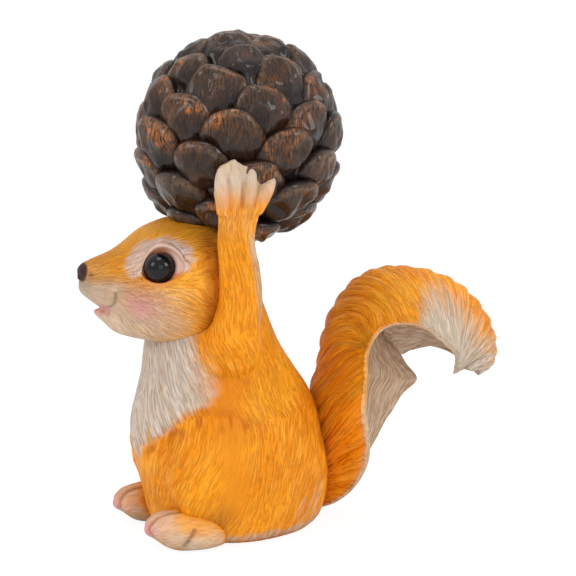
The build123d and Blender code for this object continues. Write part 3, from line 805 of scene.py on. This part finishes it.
arm_paint = fur_paint(
    "arm_fur", (236, 141, 10), (249, 160, 24), (190, 170, 142),
    gloss=0.06, stroke=0.55, length=6,
)
for name, mirror, arm_setback in (("left", 1, 0.0), ("right", -1, 3.0)):
    arm_shift = np.array([0, -arm_setback, 0])
    points, faces, outward = cast(arm_form, (8, -22, 44), (36, 8, 123), grain=0.38)
    x, y, z = points.T
    middle_x = np.interp(z, arm_rows[:, 0], arm_rows[:, 1])
    middle_y = np.interp(z, arm_rows[:, 0], arm_rows[:, 2])
    across = 6.5 * np.arctan2(y - middle_y, x - middle_x + 1.5)
    across = across + 0.16 * (z - 70) + 1.6 * (mottle(points, 12, 16) - 0.5)
    fine = strokes(across, z, 1.15, 6.5, 13)
    bare = rising(104.5, 108.5, z)
    # The skin between the fingers (crease) is darkened and tinted ochre as painted shade; the wrist line
    # takes the wash.
    crease = rising(0, 0.7, fingers(points)) * rising(105, 108, z) * rising(115.5, 112, z)
    carved = rising(0.8, 2.1, -fine) * (1 - bare)
    groove = most(0.15 * bump(z - wrist_z, 0.8) * rising(26, 28, x), crease)
    ridge = 0.4 * rising(0.9, 2.2, fine) * (1 - bare)
    strip_from = np.interp(z, (55, 70, 85, 95), (-3, -4.2, -6.9, -9.4))
    strip = rising(0.8, 3.4, y - strip_from) * rising(60, 70, z) * rising(101, 94, z)
    tips = rising(105.5, 114.5, z + 3 * (mottle(points, 3, 15) - 0.5))
    belly = pale_chest(points + arm_shift) * rising(66, 54, z)
    pale = most(0.1 * rising(94, 102, z) + 0.85 * tips, 0.65 * strip, belly)
    points = points + outward * (0.05 * ridge - 0.16 * carved)[:, None]
    layers = fur_layers(
        groove=groove, ridge=ridge, pale=pale, ochre=0.3 * crease, dark=0.25 * crease, smooth=0.75 * bare,
        across=across, along=z, haunch_across=body_fur(points + arm_shift)[0], haunch=rising(72, 60, z),
    )
    points = (points - arm_shift) * (mirror, 1, 1)
    piece(f"{name}_arm_casting", points, faces[:, ::mirror], layers, arm_paint, [f"{name}_arm"])


# Feet: two flat castings glued under the haunches, each with three toes parted by carved
# lines and tipped in pink.
toe_y, foot_length, foot_height, foot_x, foot_half_width = -35.94, 26, 12, 15.6, 6.8
foot_rows = eased([
    (
        toe_y + foot_length * place, foot_x + foot_half_width * spread, foot_height * (top + sole) / 2,
        foot_half_width * (wide + spread), foot_height * (top - sole) / 2,
    )
    for place, top, sole, wide, spread in (
        (0.03, 0.74, 0.52, 0.36, 0), (0.12, 0.92, 0.3, 0.76, 0), (0.22, 0.99, 0.12, 0.93, 0.03),
        (0.36, 1.02, -0.01, 1, 0.13), (0.52, 1.03, -0.02, 1, 0.28), (0.75, 1, -0.02, 0.95, 0.3),
        (0.9, 0.86, -0.02, 0.88, 0.12), (1, 0.7, -0.02, 0.8, -0.1),
    )
])
toe_places = ((11.4, -30.2), (15.6, -31.8), (19.8, -30.2))
toe_partings = (13.5, 17.7)
foot_crease = ((-23.4, 7.8), (-24.7, 5.4), (-25.9, 2.9))


def foot_lines(points, width):
    """Carved lines that part the toes, and the crease at the foot's outer side."""
    x, y, z = points.T
    partings = sum(bump(x - line_x - 0.1 * (y + 30), width) for line_x in toe_partings)
    partings = partings * rising(-22, -26, y) * rising(3, 6, z)
    return partings, bump(off_line(y, z, foot_crease), 0.6) * rising(16, 18, x)


def foot_form(points):
    form = drawn(points, foot_rows, 1, 1)
    for middle_x, middle_y in toe_places:
        form = blend(form, egg(points, np.array([middle_x, middle_y, 6.9]), np.eye(3), (2.5, 4.4, 2.9)), 1)
    partings, crease = foot_lines(points, 0.55)
    form = form + 0.75 * partings + 0.7 * crease
    return most(form, -points[:, 2], -torso(points) - 0.25)


points, faces, outward = cast(foot_form, (6, -38, -1), (30, -8, 14), grain=0.34)
x, y, z = points.T
across = 5.5 * np.arctan2(z - 3, x - foot_x)
fine = strokes(across, y, 1.1, 6, 17)
creases = most(*foot_lines(points, 0.6))
haunch_gap = torso(points) + 1.5 * (mottle(points, 2.5, 19) - 0.5)
# Deeper orange at the creases is the wash; where the foot meets the haunch it is painted shade.
groove = most(0.8 * creases, 0.5 * rising(1.2, 0.1, haunch_gap)) * rising(0.4, 1.2, z)
carved = most(rising(0.9, 2.2, -fine) * rising(-30, -22, y), creases) * rising(0.4, 1.2, z)
ridge = 0.3 * rising(0.5, 2, fine)
pale = np.clip(0.18 + 0.75 * rising(8.5, 3.5, z) + 0.6 * rising(-25, -30, y), 0, 1)
pale = pale * (0.75 + 0.3 * mottle(points, 3, 18)) * rising(-0.4, 4, haunch_gap)
blush = 0.6 * rising(-33.2, -35.2, y + 0.3 * np.abs(z - 6.5)) + 0.2 * rising(-28, -33, y)
points = points + outward * (0.02 * ridge - 0.12 * carved)[:, None]
points[:, 2] = most(points[:, 2], 0)
layers = fur_layers(
    groove=groove, ridge=ridge, pale=pale, blush=blush, dark=0.25 * creases, smooth=0.5,
    across=across, along=y, haunch_across=across,
)
foot_paint = fur_paint(
    "foot_skin", (234, 150, 30), (244, 170, 54), (203, 170, 132),
    gloss=0.05, stroke=0.5, length=3.5,
)
both_sides("foot", "casting", points, faces, layers, foot_paint)


# Tail: one casting, a trough of long fur that rises from the back, curls over and twists so
# that its hollow side shows. Locks sweep over its outside; its lining is pale, combed
# lengthwise. It is doweled to the rump.
tail_shares = (
    (-0.01, 0.04, 0.22, 0.22, 0.22, 1), (0.018, 0.09, 0.45, 0.55, 0.35, 1),
    (0.04, 0.17, 0.68, 0.85, 0.6, 1), (0.035, 0.27, 0.84, 1.1, 0.9, 1),
    (0.022, 0.38, 0.95, 1.18, 1.15, 1), (0.024, 0.5, 1, 1.13, 1.35, 1),
    (0.065, 0.62, 1, 1.01, 1.52, 0.98), (0.092, 0.74, 1, 0.93, 1.28, 0.95),
    (0.15, 0.855, 1, 1.02, 1, 0.92), (0.25, 0.945, 1, 1.34, 0.88, 0.88),
    (0.375, 0.985, 1, 1.52, 1.02, 0.82), (0.52, 0.982, 1, 1.62, 1.24, 0.72),
    (0.67, 0.95, 1, 1.62, 1.36, 0.58), (0.81, 0.89, 0.97, 1.6, 1.36, 0.36),
    (0.925, 0.795, 0.92, 1.5, 1.2, 0.2), (0.99, 0.69, 0.86, 1.2, 1, 0.06),
    (1, 0.59, 0.82, 1, 0.58, 0), (0.97, 0.52, 0.76, 0.95, 0.45, 0),
)
tail_x, tail_root_y = -5, 26.03
tail_length, tail_height, tail_half_width, tail_twist = 69, 80, 19, -38
wall_middle, wall_thinned = 6.5, 5
tail_count, flank_count, lining_count, lip_count = 330, 121, 91, 5
last_row = len(tail_shares) - 1
tail_rows = eased([(index, *row) for index, row in enumerate(tail_shares)], tail_count)
row_place, backwards, upwards = tail_rows[:, :3].T
spine = (tail_x + 0 * row_place, tail_root_y + tail_length * backwards, tail_height * upwards)
spine = np.stack(spine, 1)
gone = np.concatenate([[0], np.cumsum(np.linalg.norm(np.diff(spine, axis=0), axis=1))])


def spine_at(place):
    place = np.clip(place, 0, last_row)
    return np.stack([np.interp(place, row_place, spine[:, k]) for k in range(3)], 1)


along = spine_at(row_place + 1.6) - spine_at(row_place - 1.6)
along = along / np.linalg.norm(along, axis=1, keepdims=True)
turn = np.radians(tail_twist * tail_rows[:, 6])[:, None]
side = np.array([1, 0, 0])
sideways = side * np.cos(turn) + np.cross(along, side) * np.sin(turn)
sideways = sideways + along * (along @ side)[:, None] * (1 - np.cos(turn))
hollow = np.cross(along, sideways)
flank = np.linspace(-1, 1, flank_count)
lining = np.linspace(1, -1, lining_count)


def trough(places, thickness_share, inset):
    """Points over the tail at these places across, on its fur side or its lining."""
    near = places > 0
    half = (tail_half_width - inset) * (tail_rows[:, 3] * end_round)[:, None]
    across = half * np.where(near, near_reach[:, None], far_reach[:, None]) * places
    depth = np.where(near, tail_rows[:, 4:5], tail_rows[:, 5:6])
    fall = tail_half_width * depth * end_round[:, None] * places**2
    fall = fall + thickness_share * (wall_middle - wall_thinned * places**2)
    return spine[:, None] + sideways[:, None] * across[..., None] + hollow[:, None] * fall[..., None]


end_round = np.sqrt(1 - np.clip((row_place - 15.3) / 1.74, 0, 1) ** 2)
near_reach = np.interp(row_place, (8, 10, 12, 14, 15.5, 17), (1, 1.08, 1.14, 1.12, 1.25, 1.4))
far_reach = np.interp(row_place, (12, 14, 17), (1, 0.92, 0.7))
fur_side = trough(flank, 0, 0)
lining_side = trough(lining, 1, 1.4)


def lip(start, end, outwards):
    """A rounded edge between the fur side and the lining."""
    ways = np.pi * (np.arange(lip_count) + 1) / (lip_count + 1)
    middle, arm = (start + end) / 2, (start - end) / 2
    width = np.linalg.norm(arm, axis=1, keepdims=True)
    return np.stack([middle + arm * math.cos(way) + outwards * width * math.sin(way) for way in ways], 1)


left_lip = lip(fur_side[:, -1], lining_side[:, 0], sideways)
right_lip = lip(lining_side[:, -1], fur_side[:, 0], -sideways)
tail_grid = np.concatenate([fur_side, left_lip, lining_side, right_lip], 1)
place = np.tile(np.concatenate([flank, np.ones(lip_count), lining, -np.ones(lip_count)]), (tail_count, 1))
lip_fur = np.array([1, 0.97, 0.85, 0.5, 0.15])
on_fur = np.concatenate([np.ones(flank_count), lip_fur, np.zeros(lining_count), lip_fur[::-1]])
on_fur = np.tile(on_fur, (tail_count, 1))
gone = np.repeat(gone[:, None], place.shape[1], 1)
full_way = gone[-1, 0]
across_way = np.roll(tail_grid, -1, axis=1) - np.roll(tail_grid, 1, axis=1)
normal = np.cross(across_way, np.gradient(tail_grid, axis=0))
normal = normal / np.linalg.norm(normal, axis=2, keepdims=True)

# Each lock starts in the middle of the tail, climbs towards an edge and droops again: its
# row in the middle, the rows climbed and the share drooped.
lock_rows, lock_climb, lock_droop = np.array([
    (0, 0, 0), (2, 3.6, 0), (4.5, 3.2, 0.2), (7, 2.4, 0.8),
    (9, 1.2, 1), (11, 0.2, 1), (14, -0.3, 0), (17, 0, 0),
]).T
lock_pitch, lock_crest, lock_height, row_pitch = 0.7, 0.6, 0.7, 9.2
out = np.abs(place)
starts = np.linspace(0, last_row, 900)
climb, droop = np.interp(starts, lock_rows, lock_climb), np.interp(starts, lock_rows, lock_droop)
start_row = np.empty(place.shape)
for column in range(place.shape[1]):
    way = out[0, column] ** 1.4
    start_row[:, column] = np.interp(row_place, starts + climb * (way - droop * way**3), starts)
wander = 0.36 * (flat_mottle(start_row * 1.1, place * 1.3, 31) - 0.5)
lock = (start_row + wander) / lock_pitch
part = lock - np.floor(lock)
swell = np.where(part < lock_crest, part / lock_crest, (1 - part) / (1 - lock_crest))
swell = swell * swell * (3 - 2 * swell) - 0.5
swell = swell * (0.45 + 0.9 * flat_mottle(lock * 0.9, place * 1.2, 39))
half_part = (part * 2 + 0.35 * (flat_mottle(lock, place * 2, 32) - 0.5)) % 1
cleft = bump(np.minimum(half_part, 1 - half_part), 0.1)
cleft = cleft * rising(0.2, 0.5, flat_mottle(lock * 0.7, place * 2, 38))
stretch = np.linalg.norm(np.diff(tail_grid[60:240], axis=1), axis=2).mean(0)
stretch = np.tile(np.concatenate([[0], np.cumsum(stretch)]), (tail_count, 1))
fur_across = start_row * row_pitch
strand = flat_mottle(fur_across / 1.1, place * 2.4, 33) * 0.6
strand = strand + flat_mottle(fur_across / 0.7, place * 3.6, 34) * 0.4
lining_across = stretch * (1 + 0.15 * gone / full_way)
hair = flat_mottle(lining_across, gone / 14.0, 35) * 0.65
hair = hair + flat_mottle(lining_across / 2.2, gone / 22.0, 36) * 0.35
fade = rising(0, 9, gone) * rising(0, 6, full_way - gone)
furrow = rising(0.12, 0, part) + rising(0.93, 1, part)
# Deeper orange in the furrows between locks and strands: the wash and painted shade.
fur_groove = np.clip(rising(0.4, 0.2, strand) * 0.25 + furrow * 0.3 + cleft * 0.3, 0, 1)
fur_groove = fur_groove * (0.45 + 0.55 * rising(40, 75, gone))
hair_groove = rising(0.42, 0.2, hair)
on_lining = 1 - on_fur
groove = on_fur * fur_groove + on_lining * 0.15 * hair_groove
# On the lining, ridge is 1 all over: a painted highlight that lightens the whole lining.
ridge = on_fur * most(0.4 * rising(0.58, 0.8, strand), rising(0.1, 0.5, swell) * 0.6) + on_lining
height = lock_height * swell - 0.2 * rising(0.4, 0.2, strand) - 0.3 * cleft
height = on_fur**4 * height * (1 - 0.5 * out**4) - on_lining * 0.14 * hair_groove
tail_grid = tail_grid + normal * (height * fade)[..., None]
scallop = (0.35 * swell + 0.5 * (strand - 0.5)) * rising(0.8, 1, out) * fade
tail_grid = tail_grid + sideways[:, None] * (np.sign(place) * scallop)[..., None]
curl = rising(78, 104, gone)
pale_from = 0.97 + 0.06 * bump(gone - 62, 16) - 0.62 * curl
pale = out + curl * (0.2 * (strand - 0.5) - 0.14 * swell)
pale = rising(pale_from, pale_from + 0.06 + 0.44 * curl, pale)
pale = most(pale, rising(full_way - 24, full_way - 6, gone) * rising(0.15, 0.6, out))
pale = on_fur * pale + on_lining
ochre = rising(0.4, 0.62, flat_mottle(lining_across / 3, gone / 26, 37))
ochre = ochre * (0.3 + 0.6 * rising(-0.6, 0, place))
ochre = on_lining * most(0.28, 1.1 * ochre * rising(96, 80, gone) * rising(28, 44, gone))
ochre = ochre + on_fur * pale * rising(0.42, 0.7, strand) * 0.65 * curl * rising(1, 0.5, out)
# Painted shade on the tail's root where it meets the back.
dark = 0.1 * rising(30, 8, gone) * rising(0.7, 0.3, out) * on_fur

# Its tip is closed over a few rounded rows, and each end with a fan of three-sided faces.
cap_low, cap_high = tail_grid[0].mean(0), tail_grid[-1].mean(0) + along[-1] * 2.4
rounding = (0.93, 0.78, 0.52)
top_rows = [cap_high * (1 - share) + tail_grid[-1] * share for share in rounding]
points = np.concatenate([tail_grid.reshape(-1, 3), *top_rows, cap_low[None], cap_high[None]])
row_total, ring = tail_count + len(rounding), tail_grid.shape[1]
faces = ring_faces(row_total, ring).tolist()
low_centre, last = row_total * ring, (row_total - 1) * ring
faces += [(low_centre, column, (column + 1) % ring) for column in range(ring)]
faces += [(low_centre + 1, last + (column + 1) % ring, last + column) for column in range(ring)]


def to_ends(values):
    tip = np.concatenate([values[-1]] * len(rounding))
    return np.concatenate([values.ravel(), tip, [values[0].mean()], [values[-1].mean()]])


layers = fur_layers(**{name: to_ends(values) for name, values in {
    "groove": groove, "ridge": ridge, "pale": pale, "ochre": ochre, "dark": dark, "across": fur_across,
    "along": on_fur * stretch + on_lining * gone, "haunch_across": lining_across, "haunch": on_lining,
}.items()})
tail_paint = fur_paint(
    "tail_fur", (246, 142, 0), (255, 166, 22), (208, 188, 162),
    gloss=0.12, stroke=0.5, length=9,
)
piece("tail_casting", points, faces, layers, tail_paint, ["tail"])


# Pine cone: a ball of overlapping scales on a spiral, cast in one, stained dark brown, dry
# brushed in orange over the crowns and varnished. It rests on the head between the paws.
cone_middle = np.array([0, 1.21, 124.7])
core_radius = 27.4
scale_count = 54
scale_half_width, scale_length = 9.4, 19.6
scale_half = np.array([(0.6, -0.49), (0.98, -0.06), (0.88, 0.28), (0.42, 0.48)])
scale_outline = np.concatenate([scale_half * (-1, 1), scale_half[::-1]]) * (scale_half_width, scale_length)
scale_lean, fuller_below = 22, 0.12
turns, steps = 60, 18


def rounded_outline(corners, count):
    """A closed curve round an outline's corners."""
    closed = np.concatenate([corners[-2:], corners, corners[:3]])
    rows = np.column_stack([np.arange(len(closed)) - 2, closed])
    curve = eased(rows, 4000)
    ways = np.linspace(0, len(corners), count, endpoint=False)
    return np.stack([np.interp(ways, curve[:, 0], curve[:, k]) for k in (1, 2)], 1)


golden = math.pi * (3 - math.sqrt(5))
cone_points, cone_faces, cone_layers = [], [], []
front = np.linspace(0, 1, steps)
for index in range(scale_count):
    rise = -0.96 + 1.94 * (index + 0.5) / scale_count
    spread = math.sqrt(1 - rise * rise)
    turn = index * golden
    outwards = np.array([spread * math.cos(turn), spread * math.sin(turn), rise])
    upward = np.array([-rise * math.cos(turn), -rise * math.sin(turn), spread])
    lean = math.radians(scale_lean * (1 - 0.45 * max(0, -rise)))
    facing = outwards * math.cos(lean) - upward * math.sin(lean)
    sidewards = np.cross(upward, outwards)
    up_scale = np.cross(facing, sidewards)
    seat = cone_middle + outwards * (core_radius - 0.6) * (1 + fuller_below * max(0, -rise))
    lump = 0.93 + 0.13 * dice[index * 7]
    skew = 0.1 * (dice[index * 11] - 0.5)
    uneven = 1 + 0.24 * (dice[index * 16:index * 16 + 16].reshape(8, 2) - 0.5)
    grid = front[:, None, None] * rounded_outline(scale_outline * uneven, turns)[None] * lump
    flat_side, flat_up = grid[..., 0] + skew * grid[..., 1], grid[..., 1]
    share = front[:, None] * np.ones((1, turns))
    tip = rising(0, 8, flat_up)
    crown = 4 * (1 - share**2.1) ** 0.75 * (1 + 0.15 * bump(flat_up - 1, 3.5)) - 0.35
    crown = crown + 0.35 * bump(share - 0.9, 0.05) * tip + 0.3 * bump(flat_side, 1.2) * (1 - share**2)
    spot = np.stack([flat_side.ravel(), flat_up.ravel(), np.full(share.size, index * 9.7)], 1)
    lumps = 2.6 * (mottle(spot, 4.2, 42) - 0.5) + 1.1 * (mottle(spot * (1, 0.45, 1), 1.7, 43) - 0.5)
    crown = crown + lumps.reshape(share.shape) * (1 - share**4)
    top = seat + sidewards * flat_side[..., None] + up_scale * flat_up[..., None] + facing * crown[..., None]
    # The pale rim along each scale's upper edge is a painted highlight.
    rim = bump(share - 0.93, 0.06) * tip
    crest = rising(-1, 8, flat_up) * (0.45 + 0.55 * dice[index * 5])
    under = []
    for size, depth in ((1, -1.2), (0.97, -2.2), (0.85, -3.2), (0, -3.4)):
        ring_side, ring_up = flat_side[-1] * size, flat_up[-1] * size
        under.append(seat + np.outer(ring_side, sidewards) + np.outer(ring_up, up_scale) + facing * depth)
    below = ((0, len(under)), (0, 0))
    side_place, up_place = np.pad(flat_side, below, "edge"), np.pad(flat_up, below, "edge") + 50.0 * index
    cone_faces.append(ring_faces(steps + len(under), turns) + sum(len(block) for block in cone_points))
    cone_points.append(np.concatenate([top, np.array(under)]).reshape(-1, 3))
    shell_layers = (np.pad(crest, below), np.pad(rim, below), side_place, up_place)
    cone_layers.append(np.stack(shell_layers).reshape(4, -1))


def core_reach(angle):
    return core_radius * (1 + fuller_below * most(0, -np.cos(angle)))


core_points, core_faces = turned_ball(cone_middle, np.eye(3), core_reach, 40, 72)
cone_faces.append(core_faces + sum(len(block) for block in cone_points))
cone_points.append(core_points)
cone_layers.append(np.zeros((4, len(core_points))))
points = np.concatenate(cone_points)
layers = dict(zip(("crest", "rim", "across", "along"), np.concatenate(cone_layers, 1)))
cone_paint, pot = new_paint("varnished_cone")
place = pot.node("ShaderNodeNewGeometry", {}, {})
clouds, specks = place.noise(90.0, 4.0), place.noise(620.0, 3.0)
wave = pot.layer("across") * 2.2 + clouds * 3.0
spot = pot.node("ShaderNodeCombineXYZ", {}, {0: wave, 1: pot.layer("along") * 0.3})
grain = spot.noise(1.0, 3.0, Roughness=0.6)
crest = pot.layer("crest")
brushed = crest * grain.stepped(0.46, 0.6) * clouds.stepped(0.48, 0.62)
stain = pot.coated(
    pot.mixed(clouds.stepped(0.38, 0.64), shade(24, 15, 13), shade(60, 38, 27)),
    (grain.stepped(0.5, 0.36) * 0.6, 20, 13, 12),
    (crest * grain.stepped(0.38, 0.6) * 0.6, 110, 70, 34),
    (brushed * specks.stepped(0.38, 0.52) * 0.9, 206, 112, 22),
    # Painted highlight: pale specks along the scales' rims.
    (pot.layer("rim") * 0.35 * specks.stepped(0.35, 0.6), 150, 120, 96),
)
relief = grain + specks * 0.25 + clouds * 0.6
height = pot.node("ShaderNodeBump", {}, {"Strength": 0.9, "Distance": 0.0008, "Height": relief})
pot.skin({
    "Base Color": stain, "Roughness": 0.22 + grain * 0.22 + brushed * 0.2, "Normal": height,
    "Specular IOR Level": 0.16, "Coat Weight": 0.42, "Coat Roughness": 0.1,
})
faces = np.concatenate(cone_faces)
piece("pinecone_casting", points, faces, layers, cone_paint, ["pinecone"])


# Base plate: a thin plate of bare cream resin, cast flat. It closes the opening that the
# body is poured through, and is glued into its recess flush with the resting face.
plate_paint, pot = new_paint("base_resin_paint")
clouds = pot.node("ShaderNodeNewGeometry", {}, {}).noise(160.0, 4.0)
plate_tint = pot.mixed(clouds.stepped(0.35, 0.65), shade(206, 190, 166), shade(222, 208, 186))
pot.skin({"Base Color": plate_tint, "Roughness": 0.6 + clouds * 0.15})
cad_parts["base_plate"].material_slots[0].material = plate_paint


# Pins: the steel rod through neck, head and cone, and the dowels of limbs and tail, cut from
# drawn bar and glued into their sockets. None of them shows.
steel_paint, pot = new_paint("drawn_steel")
drawn_lines = pot.node("ShaderNodeNewGeometry", {}, {}).noise(900.0, 2.0)
steel_tint = pot.mixed(drawn_lines, shade(150, 152, 156), shade(184, 186, 190))
pot.skin({"Base Color": steel_tint, "Metallic": 1.0, "Roughness": 0.28 + drawn_lines * 0.2})
for name in (
    "spine_rod", "left_arm_dowel", "right_arm_dowel", "left_foot_dowel", "right_foot_dowel", "tail_dowels",
):
    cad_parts[name].material_slots[0].material = steel_paint
